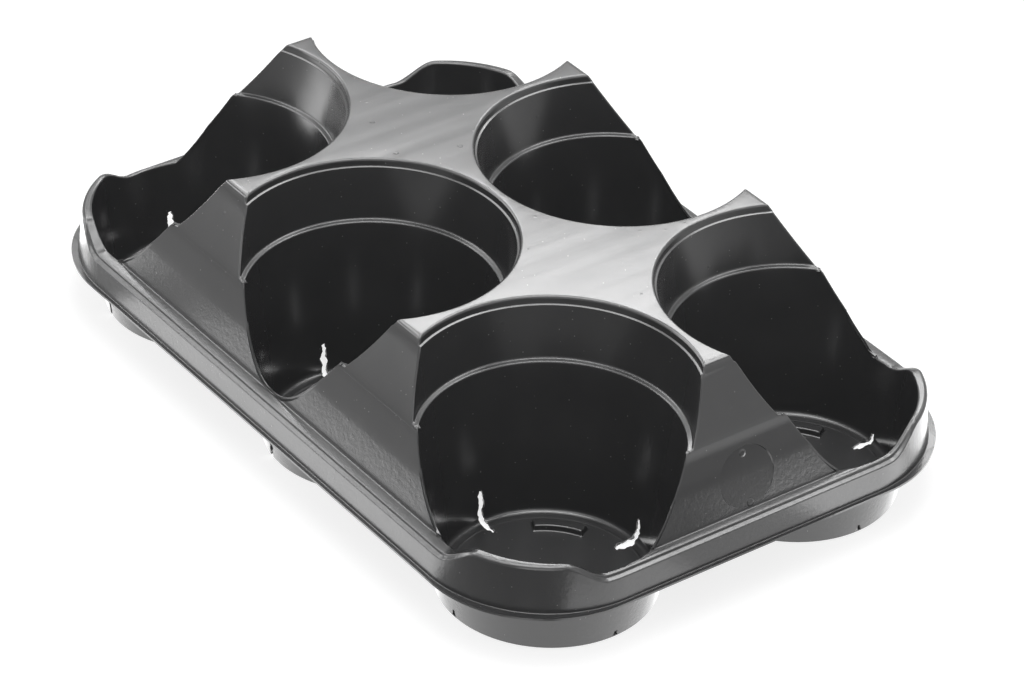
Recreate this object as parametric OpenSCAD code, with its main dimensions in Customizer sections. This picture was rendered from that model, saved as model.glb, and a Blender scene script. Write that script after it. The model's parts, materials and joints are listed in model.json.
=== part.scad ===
// Carry tray for six round pots, drawn from one thin thermoformed plastic sheet.
// Every node is one region of that sheet, cut where a flat, a wall or a fold ends,
// and neighbouring regions meet face to face.
// The origin is on the surface the tray stands on, under its middle.
// X runs along the three wells of a row, Y across the two rows, Z up.

/* [Sheet] */
// Thickness of the plastic sheet
sheet = 1; // [0.8:0.1:1.2]

/* [Wells] */
// Distance between neighbouring well centres, along and across
well_pitch = 132; // [126:1:145]
// Flat web of deck left between two well mouths
web_w = 2.4; // [2:0.2:6]
// Rounding from the deck into a well
mouth_round = 1.5; // [1.2:0.1:2.5]
// Depth of the small step under the deck
mouth_step_drop = 3.5; // [3:0.5:6]
// Width of that small step
mouth_step_w = 0.5; // [0.3:0.1:1]
// Lean of the wall above the stop ledge, in degrees
upper_draft = 9; // [7:0.5:10]
// Depth of the stop ledge under the deck
stop_drop = 28.2; // [22:0.2:36]
// Width of the stop ledge that a pot's rim ring or a nested tray meets
stop_w = 2.3; // [1.5:0.1:3.5]
// Fall of the stop ledge towards the well
stop_fall = 0.4; // [0.2:0.1:0.8]
// Lean of the wall below the stop ledge, in degrees
wall_draft = 7; // [6:0.1:9]
// Rounding from the wall into the floor
floor_round = 2.6; // [2:0.2:4]
// Rounding of the base on its outer side
base_round = 0.8; // [0.6:0.2:2.6]

/* [Well floor] */
// Radial distance from the floor's edge to the middle of a raised bar
bar_inset = 11.6; // [9:0.2:14]
// Radial width of a raised bar at its foot
bar_w = 6; // [5:0.2:7]
// Height of a raised bar
bar_h = 2.6; // [1.6:0.2:3.4]
// Lean of a bar's sides, in degrees
bar_draft = 10; // [5:1:15]
// Angle that a raised bar spans, in degrees
bar_span = 42; // [20:1:60]
// Width of a drain slot
slot_w = 2.2; // [1.4:0.2:4]
// Reach of a drain slot into the floor
slot_reach = 9.2; // [5:0.2:12]
// Height of a drain slot up the wall, from the base
slot_top = 15.4; // [8:0.2:20]
// Turn of the drain slots in the left column of wells, in degrees
slot_turn_left = -11; // [-15:0.5:15]
// Turn of the drain slots in the middle column, in degrees
slot_turn_middle = -8.5; // [-15:0.5:15]
// Turn of the drain slots in the right column, in degrees
slot_turn_right = 0; // [-15:0.5:15]

/* [Deck] */
// Height of the deck above the base
deck_z = 102; // [96:1:112]

/* [Gussets] */
// Lean of a gusset's upper panel, in degrees
lean_top = 28.8; // [26:0.2:31]
// Depth of the upper fold under the deck
fold_drop = 30; // [26:0.5:34]
// Lean of the panel between the two folds, in degrees
lean_mid = 18.8; // [17:0.2:21]
// Height of the lower fold above the ledge
fold_rise = 18; // [15:0.5:21]
// Lean of the panel at the foot, in degrees
lean_foot = 13.8; // [12:0.2:16]

/* [Rim] */
// Height of the ledge at the foot of the gussets
ledge_z = 40; // [35:0.5:43]
// Room on that ledge between an end well and the outer step, along X
rim_room_end = 2.1; // [2:0.1:5]
// Room on that ledge between a well and the outer step, along Y
rim_room_side = 5.5; // [2:0.1:7]
// Width of that ledge at the foot of the end gussets
ledge_w_end = 4; // [3.5:0.1:7]
// Width of that ledge at the foot of the side gussets
ledge_w_side = 5; // [3.5:0.1:7]
// Drop from the ledge to the outer step
step_drop = 1.6; // [1.3:0.1:3]
// Width of the outer step
step_w = 2.2; // [1.6:0.1:3]
// Height of the skirt below the outer step
skirt_h = 12.2; // [8:0.2:16]
// Lean of the skirt, in degrees
skirt_draft = 4.5; // [2:0.5:6]
// Room at a corner between the well and the top of the skirt
corner_room = 6; // [5:0.1:8]
// Width of the trim flange along the straight sides
flange_w = 1.8; // [1.4:0.1:4]
// How much tighter the trim flange's corners are than the skirt's, in radius
flange_tight = 1.4; // [0:0.2:3]

/* [Corner lips] */
// Height of a corner lip above the ledge
lip_rise = 8.8; // [5:0.2:10]
// Distance from the well's centre, along X, at which a lip's flat top starts
lip_start_x = 19; // [16:0.5:26]
// Distance from the well's centre, along Y, at which a lip's flat top starts
lip_start_y = 26; // [22:0.5:30]
// Slope of a lip's two ends, in degrees
lip_slope = 45; // [35:1:60]

/* [End recess] */
// Diameter of the plain round recess in the right-hand gusset
recess_d = 29; // [16:1:30]
// Depth of that recess at its centre
recess_depth = 0.8; // [0.4:0.1:1]
// Height of its centre above the ledge
recess_rise = 14.2; // [10:0.2:20]
// Its distance off the middle of the gusset
recess_off = 2; // [-6:0.5:6]

/* [Hidden] */
$fn = 96;

// Left, middle and right columns and the front and back rows, in pitches
left = -1;
middle = 0;
right = 1;
front = -1;
back = 1;

// Overrun of a cutting solid past the face that it cuts
over = 5;
// Steps in a rounded corner of a profile
round_steps = 5;
// Azimuths of the drain slots, before a column's own turn, and of the raised bars
slot_turns = [0, 90, 180, 270];
bar_turns = [135, 315];
function slot_turn(col) = col == left ? slot_turn_left
    : col == middle ? slot_turn_middle : slot_turn_right;

// Well centres
end_x = well_pitch;
row_y = well_pitch / 2;

// Levels
under_deck = deck_z - sheet;
mouth_step_z = deck_z - mouth_step_drop;
stop_z = deck_z - stop_drop;
step_z = ledge_z - step_drop;
flange_z = step_z - skirt_h;
fold_top_z = deck_z - fold_drop;
fold_low_z = ledge_z + fold_rise;
lip_z = ledge_z + lip_rise;
floor_part_z = sheet + floor_round;

// Radii of the well's inner surface, worked down from its mouth
mouth_r = (well_pitch - web_w) / 2;
upper_top_r = mouth_r - mouth_round / cos(upper_draft);
step_outer_r = upper_top_r - (mouth_step_drop - mouth_round) * tan(upper_draft);
step_inner_r = step_outer_r - mouth_step_w;
stop_outer_r = step_inner_r - (stop_drop - mouth_step_drop) * tan(upper_draft);
stop_inner_r = stop_outer_r - stop_w;
function wall_r(z) = stop_inner_r - (stop_z - stop_fall - z) * tan(wall_draft);
floor_r = wall_r(sheet);

// Sideways move that, with a drop of one sheet, gives the other face of a leaning wall
function nest(draft) = sheet * (1 - sin(draft)) / cos(draft);

// Turns and straight runs share an end face, so their places are whole hundredths
function snap(size) = round(size * 100) / 100;

// Half sizes of the rim, worked out from the wells: riser of the ledge and foot of the gussets
riser_x = end_x + wall_r(ledge_z) + rim_room_end;
riser_y = row_y + wall_r(ledge_z) + rim_room_side;
foot_x = riser_x - ledge_w_end;
foot_y = riser_y - ledge_w_side;

// Half sizes of the body at a height on the gussets' outer face
function lean_in(z) =
    (min(z, fold_low_z) - ledge_z) * tan(lean_foot)
    + (max(min(z, fold_top_z), fold_low_z) - fold_low_z) * tan(lean_mid)
    + (max(z, fold_top_z) - fold_top_z) * tan(lean_top);
function body_x(z) = foot_x - lean_in(z);
function body_y(z) = foot_y - lean_in(z);

// Level distance between a gusset's two faces, the same on its three panels
gusset_w = sheet / cos(lean_mid);

// One face of a gusset from its foot up to the deck, as distance and height
function gusset_face(foot) = [
    for (z = [ledge_z, fold_low_z, fold_top_z, under_deck]) [foot - lean_in(z), z]
];

// Rounded corner of the rim: its centre, and distances from there
corner_r = wall_r(ledge_z) + corner_room;
corner_x = snap(riser_x + step_w - corner_r);
corner_y = snap(riser_y + step_w - corner_r);
riser_u = corner_r - step_w;
function skirt_u(z) = corner_r + (step_z - z) * tan(skirt_draft);
skirt_w = sheet / cos(skirt_draft);

function arc(centre, r, from, to) = [
    for (i = [0:round_steps])
        let (a = from + (to - from) * i / round_steps)
            centre + r * [cos(a), sin(a)]
];

// Inner face of a well from the middle of its floor to the deck, as radius and height
function well_face() = concat(
    [[0, sheet]],
    arc([floor_r + floor_round * (tan(wall_draft) - 1 / cos(wall_draft)), floor_part_z],
        floor_round, -90, -wall_draft),
    [[stop_inner_r, stop_z - stop_fall], [stop_outer_r, stop_z]],
    [[step_inner_r, mouth_step_z], [step_outer_r, mouth_step_z]],
    arc([mouth_r, deck_z - mouth_round], mouth_round, 180 - upper_draft, 90)
);

// The outer face is the inner one moved down and out by one sheet, with a corner of its own
function well_back() = concat(
    [[0, 0]],
    arc([floor_r + nest(wall_draft) + base_round * (tan(wall_draft) - 1 / cos(wall_draft)), base_round],
        base_round, -90, -wall_draft),
    [for (p = well_face()) if (p.y > floor_part_z) [p.x + nest(wall_draft), p.y - sheet]]
);

function reversed(points) = [for (i = [len(points) - 1:-1:0]) points[i]];

module at_well(col, row) {
    translate([col * end_x, row * row_y, 0]) children();
}

// Everything inside a well, for cutting the sheet around it
module well_space() {
    rotate_extrude()
        polygon(concat(well_face(), [[mouth_r, deck_z + over], [0, deck_z + over]]));
}

module well_sheet(col) {
    difference() {
        rotate_extrude() polygon(concat(well_face(), reversed(well_back())));
        rotate(slot_turn(col)) drain_slots();
    }
}

module drain_slots() {
    for (turn = slot_turns)
        rotate(turn)
            translate([floor_r - slot_reach, -slot_w / 2, -over])
                cube([slot_reach + over, slot_w, slot_top + over]);
}

// Section of a raised bar, wider by grow on each side
function bar_section(foot, top, grow) =
    let (
        middle_r = floor_r - bar_inset,
        foot_half = bar_w / 2 + grow,
        top_half = foot_half - (top - foot) * tan(bar_draft)
    )
    [
        [middle_r - foot_half, foot], [middle_r + foot_half, foot],
        [middle_r + top_half, top], [middle_r - top_half, top]
    ];

// A bar that is shortened along its arc by the same amount as it is narrowed
module bar(foot, top, grow) {
    trim = grow / (floor_r - bar_inset) * 180 / PI;
    for (turn = bar_turns)
        rotate(turn - bar_span / 2 - trim)
            rotate_extrude(angle = bar_span + 2 * trim)
                polygon(bar_section(foot, top, grow));
}

// Prisms along X and Y with one section, both mirrored about the middle
module ridge_along_x(half_x, side) {
    rotate([90, 0, 90])
        linear_extrude(2 * half_x, center = true)
            polygon(concat(side, [for (p = reversed(side)) [-p.x, p.y]]));
}

module ridge_along_y(half_y, side) {
    rotate([90, 0, 0])
        linear_extrude(2 * half_y, center = true)
            polygon(concat(side, [for (p = reversed(side)) [-p.x, p.y]]));
}

// Inside of the raised body: under the deck and behind the gussets, without its corners
module body_inside() {
    ridge_along_x(end_x, concat([[foot_y - gusset_w, 0]], gusset_face(foot_y - gusset_w)));
    ridge_along_y(row_y, concat([[foot_x - gusset_w, 0]], gusset_face(foot_x - gusset_w)));
}

// Below the ledge the well stands free, so nothing trims it there
module below_ledge() {
    translate([-riser_x, -riser_y, -over])
        cube([2 * riser_x, 2 * riser_y, ledge_z - sheet + over]);
}

// Sector of the corner block up to the face of the skirt
module corner_sector(inset, low, high) {
    translate([corner_x, corner_y, 0])
        rotate_extrude(angle = 90)
            polygon([
                [0, low], [skirt_u(low) - inset, low],
                [skirt_u(high) - inset, high], [0, high]
            ]);
}

// Section along X or Y of the space between a lip's sloping ends: its flat top begins at start
function slope_section(start, low, high) = [
    [start - (high - low) / tan(lip_slope), low], [riser_x, low], [riser_x, high], [start, high]
];

// Space of the corner lip between its two sloping ends, each moved in by the same amount
module between_slopes(inset, low, high) {
    intersection() {
        translate([end_x, 0, 0])
            rotate([90, 0, 0])
                linear_extrude(2 * riser_x, center = true)
                    polygon(slope_section(lip_start_x + inset, low, high));
        translate([0, row_y, 0])
            rotate([90, 0, 90])
                linear_extrude(3 * riser_x, center = true)
                    polygon(slope_section(lip_start_y + inset, low, high));
    }
}

// Hollow behind the lip of the back right corner, open down to the inside of the skirt
module lip_inside() {
    low = step_z - sheet - over;
    high = lip_z - sheet;
    intersection() {
        corner_sector(skirt_w, low, high);
        between_slopes(sheet * tan(lip_slope / 2), low, high);
    }
}

module in_corner(col, row) {
    mirror([col < 0 ? 1 : 0, 0, 0]) mirror([0, row < 0 ? 1 : 0, 0]) children();
}

// One section swept round the tray: straight runs and quarter turns. The section is a list
// of points [u, z], u from the corner's centre; the inner edge differs per run.
module sweep_round(end_section, side_section, corner_section) {
    for (side = [left, right]) {
        in_corner(side, back)
            translate([corner_x, 0, 0])
                rotate([90, 0, 0])
                    linear_extrude(2 * corner_y, center = true) polygon(end_section);
        in_corner(right, side)
            translate([0, corner_y, 0])
                rotate([90, 0, 90])
                    linear_extrude(2 * corner_x, center = true) polygon(side_section);
        for (row = [front, back])
            in_corner(side, row)
                translate([corner_x, corner_y, 0])
                    rotate_extrude(angle = 90) polygon(corner_section);
    }
}

// Ledge, riser and outer step from the inner edge out
function ledge_section(inner) = [
    [inner, ledge_z - sheet], [inner, ledge_z],
    [riser_u, ledge_z], [riser_u, step_z], [corner_r, step_z],
    [skirt_u(step_z - sheet), step_z - sheet],
    [riser_u - sheet, step_z - sheet], [riser_u - sheet, ledge_z - sheet]
];

function skirt_section() =
    let (high = step_z - sheet)
    [
        [skirt_u(high) - skirt_w, high], [skirt_u(high), high],
        [skirt_u(flange_z), flange_z], [skirt_u(flange_z) - skirt_w, flange_z]
    ];

// A flat plate with round corners: two crossing strips and four quarter discs
module round_plate(half_x, half_y, r, thick) {
    translate([r - half_x, -half_y, 0]) cube([2 * (half_x - r), 2 * half_y, thick]);
    translate([-half_x, r - half_y, 0]) cube([2 * half_x, 2 * (half_y - r), thick]);
    for (col = [left, right])
        for (row = [front, back])
            in_corner(col, row)
                translate([half_x - r, half_y - r, 0])
                    rotate_extrude(angle = 90) square([r, thick]);
}

module plastic() {
    color("#1c1d1e") children();
}

// The flat web between the wells, with its six narrow tips
module deck() {
    plastic()
        difference() {
            intersection() {
                ridge_along_x(body_x(under_deck),
                    [[body_y(under_deck), under_deck], [body_y(deck_z), deck_z]]);
                ridge_along_y(body_y(under_deck),
                    [[body_x(under_deck), under_deck], [body_x(deck_z), deck_z]]);
            }
            for (col = [left, middle, right])
                for (row = [front, back])
                    at_well(col, row) well_space();
        }
}

function gusset_section(foot) =
    concat(gusset_face(foot), reversed(gusset_face(foot - gusset_w)));

// A sloping panel on a long side, between two neighbouring wells
module side_gusset(col, row) {
    plastic()
        difference() {
            in_corner(right, row)
                translate([col * end_x / 2, 0, 0])
                    rotate([90, 0, 90])
                        linear_extrude(end_x, center = true)
                            polygon(gusset_section(foot_y));
            at_well(middle, row) well_space();
            at_well(col, row) well_space();
        }
}

module end_gusset(col) {
    plastic()
        difference() {
            in_corner(col, back)
                rotate([90, 0, 0])
                    linear_extrude(2 * row_y, center = true)
                        polygon(gusset_section(foot_x));
            at_well(col, front) well_space();
            at_well(col, back) well_space();
        }
}

// A disc across the lower fold of the right-hand gusset, from one depth to another
module recess_disc(r, from, to) {
    z = ledge_z + recess_rise;
    translate([body_x(z), recess_off, z])
        rotate([0, 90 - (lean_mid + lean_foot) / 2, 0])
            translate([0, 0, from])
                cylinder(h = to - from, r = r);
}

// The right-hand panel is pressed in round a plain disc, so the sheet stays one thickness
module end_gusset_with_recess() {
    plastic()
        difference() {
            union() {
                end_gusset(right);
                intersection() {
                    recess_disc(recess_d / 2 + sheet, -recess_depth - sheet, -sheet);
                    translate([0, -row_y, ledge_z]) cube([2 * riser_x, 2 * row_y, deck_z]);
                }
            }
            recess_disc(recess_d / 2, -recess_depth, over);
        }
}

module rim_ledge() {
    plastic()
        difference() {
            sweep_round(
                ledge_section(foot_x - gusset_w - corner_x),
                ledge_section(foot_y - gusset_w - corner_y),
                ledge_section(riser_u / 2)
            );
            for (col = [left, middle, right])
                for (row = [front, back])
                    at_well(col, row) well_space();
            for (col = [left, right])
                for (row = [front, back])
                    in_corner(col, row) lip_inside();
        }
}

module rim_skirt() {
    plastic() sweep_round(skirt_section(), skirt_section(), skirt_section());
}

// Flat trimmed edge that the skirt stands on, wider at the corners
module trim_flange() {
    foot = snap(skirt_u(flange_z));
    hole = snap(foot - skirt_w);
    plastic()
        translate([0, 0, flange_z - sheet])
            difference() {
                round_plate(corner_x + foot + flange_w, corner_y + foot + flange_w,
                    snap(corner_r - flange_tight), sheet);
                translate([0, 0, -over])
                    round_plate(corner_x + hole, corner_y + hole, hole, sheet + 2 * over);
            }
}

// Raised wall round a corner: the skirt carried up past the ledge and folded into the well
module corner_lip(col, row) {
    plastic()
        difference() {
            in_corner(col, row)
                difference() {
                    intersection() {
                        corner_sector(0, step_z, lip_z);
                        between_slopes(0, step_z, lip_z);
                    }
                    lip_inside();
                    translate([corner_x, corner_y, 0])
                        rotate_extrude(angle = 90)
                            polygon([
                                [0, step_z - over], [riser_u, step_z - over],
                                [riser_u, ledge_z], [0, ledge_z]
                            ]);
                }
            at_well(col, row) well_space();
        }
}

// The tapered wall of one well, trimmed to the inside of the sheet around it
module well_wall(col, row) {
    plastic()
        intersection() {
            difference() {
                at_well(col, row) well_sheet(col);
                translate([-riser_x, -riser_y, -over])
                    cube([2 * riser_x, 2 * riser_y, floor_part_z + over]);
            }
            union() {
                below_ledge();
                body_inside();
                if (col != middle) in_corner(col, row) lip_inside();
            }
        }
}

// The dished floor of one well with its raised bars, hollow underneath, and drain slots
module well_floor(col, row) {
    plastic()
        at_well(col, row)
            difference() {
                union() {
                    intersection() {
                        well_sheet(col);
                        translate([-mouth_r, -mouth_r, -over])
                            cube([2 * mouth_r, 2 * mouth_r, floor_part_z + over]);
                    }
                    bar(sheet, sheet + bar_h, 0);
                }
                bar(-over, bar_h, -nest(bar_draft));
            }
}

deck();
side_gusset(left, front);  // gusset_front_left
side_gusset(right, front);  // gusset_front_right
side_gusset(left, back);  // gusset_back_left
side_gusset(right, back);  // gusset_back_right
end_gusset(left);  // gusset_left_end
end_gusset_with_recess();  // gusset_right_end
rim_ledge();
rim_skirt();
trim_flange();
corner_lip(left, front);  // lip_front_left
corner_lip(right, front);  // lip_front_right
corner_lip(left, back);  // lip_back_left
corner_lip(right, back);  // lip_back_right
well_wall(left, front);  // well_wall_front_left
well_wall(middle, front);  // well_wall_front_middle
well_wall(right, front);  // well_wall_front_right
well_wall(left, back);  // well_wall_back_left
well_wall(middle, back);  // well_wall_back_middle
well_wall(right, back);  // well_wall_back_right
well_floor(left, front);  // well_floor_front_left
well_floor(middle, front);  // well_floor_front_middle
well_floor(right, front);  // well_floor_front_right
well_floor(left, back);  // well_floor_back_left
well_floor(middle, back);  // well_floor_back_middle
well_floor(right, back);  // well_floor_back_right
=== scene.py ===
# %% [markdown]
# # A carry tray for six pots, as one formed sheet
# The real tray is a single sheet of black plastic that was heated and sucked over a mould.
# It could be modelled panel by panel, but the panels would hardly meet in the soft corners that a
# formed sheet has. So we follow the real process: first the mould as a few plain solids, then one
# skin over it with every edge rounded, then a thickness for that skin, and last the plastic.
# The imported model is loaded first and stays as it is, because it fixes where everything goes.

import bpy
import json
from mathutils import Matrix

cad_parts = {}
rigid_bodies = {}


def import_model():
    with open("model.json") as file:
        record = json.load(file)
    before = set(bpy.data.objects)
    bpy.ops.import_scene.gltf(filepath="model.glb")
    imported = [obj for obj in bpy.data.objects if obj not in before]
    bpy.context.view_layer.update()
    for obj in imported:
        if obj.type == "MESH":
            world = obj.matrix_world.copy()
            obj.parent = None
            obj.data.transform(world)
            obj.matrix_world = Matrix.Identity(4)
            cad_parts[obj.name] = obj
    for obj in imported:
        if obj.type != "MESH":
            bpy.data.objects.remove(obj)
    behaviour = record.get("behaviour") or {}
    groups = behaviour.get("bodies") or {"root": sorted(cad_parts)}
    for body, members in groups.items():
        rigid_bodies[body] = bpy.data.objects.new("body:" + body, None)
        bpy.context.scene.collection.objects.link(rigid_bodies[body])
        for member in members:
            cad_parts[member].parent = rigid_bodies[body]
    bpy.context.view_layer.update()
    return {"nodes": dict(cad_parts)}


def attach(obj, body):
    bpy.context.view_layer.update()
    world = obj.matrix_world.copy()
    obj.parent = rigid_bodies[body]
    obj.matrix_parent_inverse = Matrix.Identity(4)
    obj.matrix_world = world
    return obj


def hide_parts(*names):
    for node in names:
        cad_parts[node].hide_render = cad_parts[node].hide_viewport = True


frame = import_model()

import json
import random
from math import atan2, cos, degrees, hypot, pi, radians, sin, tan

import bmesh
import bpy
from mathutils import Matrix, Vector

# %% [markdown]
# ## Sizes
# All modelling is done in millimetres, because small roundings are easier to judge there. The
# finished mesh is scaled to metres once, near the end. The sizes are those of the CAD part: heights
# above the table, slopes in degrees, and the stop ledge on which a pot's rim comes to rest.

# %% Sizes in millimetres
SHEET = 1.0
END_X, ROW_Y = 132.0, 66.0
WELLS = [(col * END_X, row * ROW_Y) for row in (-1, 1) for col in (-1, 0, 1)]
DECK_Z, LIP_Z, LEDGE_Z, STEP_Z, FLANGE_Z = 102.0, 48.8, 40.0, 38.4, 26.2
FOLD_TOP_Z, FOLD_LOW_Z = 72.0, 58.0
LEAN_TOP, LEAN_MID, LEAN_FOOT = 28.8, 18.8, 13.8
WALL_DRAFT, UPPER_DRAFT, SKIRT_DRAFT = 7.0, 9.0, 4.5
STOP_Z, STOP_FALL, STOP_W, STOP_OUTER_R = 73.8, 0.4, 2.3, 58.552
print("wells at", WELLS)

# %% [markdown]
# ## Sizes that follow
# The wells taper, so a radius depends on the height. The rim is placed from the wells' radius at the
# ledge, and not typed in, so that it still clears the wells if a slope is changed.

# %% Radii and the rim's place
RISER_GAP = (2.1, 5.5)
LEDGE_W = (4.0, 5.0)
STEP_W = 2.2
CORNER_WALL = 6.0


def slope(angle):
    return tan(radians(angle))


stop_inner_r = STOP_OUTER_R - STOP_W


def wall_r(z):
    """Radius of a well's inner face below its stop ledge."""
    return stop_inner_r - (STOP_Z - STOP_FALL - z) * slope(WALL_DRAFT)


riser = (END_X + wall_r(LEDGE_Z) + RISER_GAP[0], ROW_Y + wall_r(LEDGE_Z) + RISER_GAP[1])
foot = (riser[0] - LEDGE_W[0], riser[1] - LEDGE_W[1])
corner_r = wall_r(LEDGE_Z) + CORNER_WALL
corner = (riser[0] + STEP_W - corner_r, riser[1] + STEP_W - corner_r)
print("rim half sizes", [round(v, 2) for v in riser], "corner radius", round(corner_r, 2))

# %% [markdown]
# ## Slope of the gussets
# The gussets are the sloping panels that carry the deck. Each has two folds across it, so it gets
# steeper on the way down. One function gives the half size of the raised body at any height. It can
# ease the folds in, which is used later, when the sharp folds of the mould become soft bends.

# %% Gusset slopes
def fold_run(z, fold_z, soft):
    """Height above a fold, eased in over a short stretch where the fold is a soft bend."""
    t = z - fold_z
    if abs(t) >= soft:
        return max(t, 0.0)
    return (t + soft) ** 2 / (4 * soft)


def body_half(axis, z, soft=0.0):
    """Half size of the raised body along X (0) or Y (1) at a height on its sloping gussets."""
    low = (z - LEDGE_Z) * slope(LEAN_FOOT)
    mid = fold_run(z, FOLD_LOW_Z, soft) * (slope(LEAN_MID) - slope(LEAN_FOOT))
    top = fold_run(z, FOLD_TOP_Z, soft) * (slope(LEAN_TOP) - slope(LEAN_MID))
    return foot[axis] - low - mid - top


print("half sizes at the deck:", [round(body_half(axis, DECK_Z), 2) for axis in (0, 1)])

# %% [markdown]
# ## Helpers for the mould
# The mould's parts are joined with Boolean modifiers later, and then we have to know which part a
# face came from. A Boolean keeps the material number of every face, so each part gets a number and
# four empty material slots.

# %% Mesh helpers
BODY, RIM, WELL, RECESS = range(4)


def near(value, target, slack=0.01):
    return abs(value - target) < slack


def side_of(value):
    return 1 if value > 0 else -1


def new_object(name, bm, group):
    """A mesh object whose faces carry the number of their part of the mould."""
    for face in bm.faces:
        face.material_index = group
    bmesh.ops.recalc_face_normals(bm, faces=bm.faces)
    mesh = bpy.data.meshes.new(name)
    bm.to_mesh(mesh)
    bm.free()
    for _ in (BODY, RIM, WELL, RECESS):
        mesh.materials.append(None)
    made = bpy.data.objects.new(name, mesh)
    bpy.context.scene.collection.objects.link(made)
    return made


def extruded(bm, face, keep=False):
    """Extrudes one face and returns the new one. The old one only stays where it closes the solid."""
    grown = bmesh.ops.extrude_face_region(bm, geom=[face])["geom"]
    if not keep:
        bmesh.ops.delete(bm, geom=[face], context="FACES_ONLY")
    return [g for g in grown if isinstance(g, bmesh.types.BMFace)][0]


print("the mould's parts are numbered", (BODY, RIM, WELL, RECESS))

# %% [markdown]
# ## The mould: a raised body
# The deck and the gussets are one plus-shaped block whose arms spread on the way down. It could be
# cut from a box, but a plus is quicker to extrude: a grid without its four corner faces becomes one
# face, that face is extruded downwards, and at every level the tips of the arms move out to the
# gusset's slope. At the end wells the long sides draw back a little, so that the gussets run out there
# and leave no sliver along the ledge.

# %% Raised body
FAR = 200
DRAW_BACK_X, DRAW_BACK = 118, 1.1
BODY_FOOT_Z = LEDGE_Z - 9


def plus_face(bm):
    """One flat plus-shaped face."""
    bmesh.ops.create_grid(bm, x_segments=5, y_segments=3, size=1.0)
    columns = {-1.0: -FAR, -0.6: -END_X, -0.2: -DRAW_BACK_X, 0.2: DRAW_BACK_X, 0.6: END_X, 1.0: FAR}
    for v in bm.verts:
        v.co.x = min(columns.items(), key=lambda item: abs(item[0] - v.co.x))[1]
        v.co.y = (FAR if abs(v.co.y) > 0.9 else ROW_Y) * side_of(v.co.y)
    middles = [(face, face.calc_center_median()) for face in bm.faces]
    corners = [face for face, middle in middles if abs(middle.x) > END_X and abs(middle.y) > ROW_Y]
    bmesh.ops.delete(bm, geom=corners, context="FACES")
    bmesh.ops.dissolve_faces(bm, faces=bm.faces)
    return bm.faces[:][0]


def fit_level(verts, z):
    """Moves the tips of the arms out to the gussets' slopes at this height."""
    for v in verts:
        v.co.z = z
        if abs(v.co.x) > END_X + 1:
            v.co.x = body_half(0, z) * side_of(v.co.x)
        if abs(v.co.y) > ROW_Y + 1:
            back = DRAW_BACK if abs(v.co.x) > END_X - 1 else 0.0
            v.co.y = (body_half(1, z) - back) * side_of(v.co.y)


def raised_body():
    bm = bmesh.new()
    cap = plus_face(bm)
    fit_level(cap.verts, DECK_Z)
    for z in (FOLD_TOP_Z, FOLD_LOW_Z, BODY_FOOT_Z):
        cap = extruded(bm, cap, keep=z == FOLD_TOP_Z)
        fit_level(cap.verts, z)
    return new_object("raised_body", bm, BODY)


body = raised_body()
print("raised body:", len(body.data.polygons), "faces")

# %% [markdown]
# ## The mould: where the lips rise
# At each corner of the real tray the rim is drawn up into a lip, with a smooth S at both ends. A lip
# could be a block of its own, but then the S would need a Boolean and a rounding. Here it is the
# same rim, lifted: this cell only says how high it is in each direction from a corner's centre.

# %% Shape of the lips
LIP_ENDS = ((2.5, 22.5), (9.5, 29.5))


def smooth_rise(value, start, end):
    t = max(0.0, min(1.0, (value - start) / (end - start)))
    return t * t * (3 - 2 * t)


def corner_direction(v):
    """Signs of the corner that a rim point belongs to, and its direction from that corner's centre."""
    signs = Vector((side_of(v.co.x), side_of(v.co.y)))
    out = Vector((v.co.x * signs.x - corner[0], v.co.y * signs.y - corner[1]))
    return signs, out.normalized()


def lip_lift(direction):
    """How far the lip is raised in this direction, from 0 on the ledge to 1 on its flat top."""
    along_x = corner[0] + corner_r * direction.x - END_X
    along_y = corner[1] + corner_r * direction.y - ROW_Y
    return smooth_rise(along_x, *LIP_ENDS[0]) * smooth_rise(along_y, *LIP_ENDS[1])


print("lift in the middle of a corner:", lip_lift(Vector((1, 1)).normalized()))

# %% [markdown]
# ## The mould: levels of the rim
# The rim is a rounded rectangle carried through several levels: flange, skirt, step, riser and
# ledge. All its points lie on the four corner arcs, so a level is set by moving each point along its
# own direction from the arc's centre. Scaling the rectangle would be shorter, but its corners would
# no longer be round.

# %% Levels of the rim
def skirt_u(z):
    """Distance of the skirt's face from a corner's centre."""
    return corner_r + (STEP_Z - z) * slope(SKIRT_DRAFT)


def set_level(verts, u, z, spread=0.0):
    """Moves rim points to distance u from the corner's centre, which spread moves out along X and Y."""
    for v in verts:
        signs, direction = corner_direction(v)
        v.co.x = signs.x * (corner[0] + spread + u * direction.x)
        v.co.y = signs.y * (corner[1] + spread + u * direction.y)
        v.co.z = z


def grow(bm, face, u, z, spread=0.0, keep=False):
    """Extrudes the rim's end face to a new level."""
    face = extruded(bm, face, keep)
    set_level(face.verts, u, z, spread)
    return face


print("skirt:", round(skirt_u(STEP_Z), 2), "to", round(skirt_u(FLANGE_Z), 2), "mm from a corner's centre")

# %% [markdown]
# ## The mould: lifting the lips
# Five loops of the rim lie above the skirt. Each has one place on the plain ledge and another on a lip,
# and the lift decides between the two. On the ledge the outer loops lie a little lower, so the ledge and
# its step are slightly convex and catch the light as a formed sheet does.

# %% Lift the lips
CROWN_W, CROWN = 2.6, 0.45
CROWN_INSIDE_AT = 0.25
riser_u = corner_r - STEP_W
ledge_inner_u = riser_u - 9
lip_u = skirt_u(LIP_Z)


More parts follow.
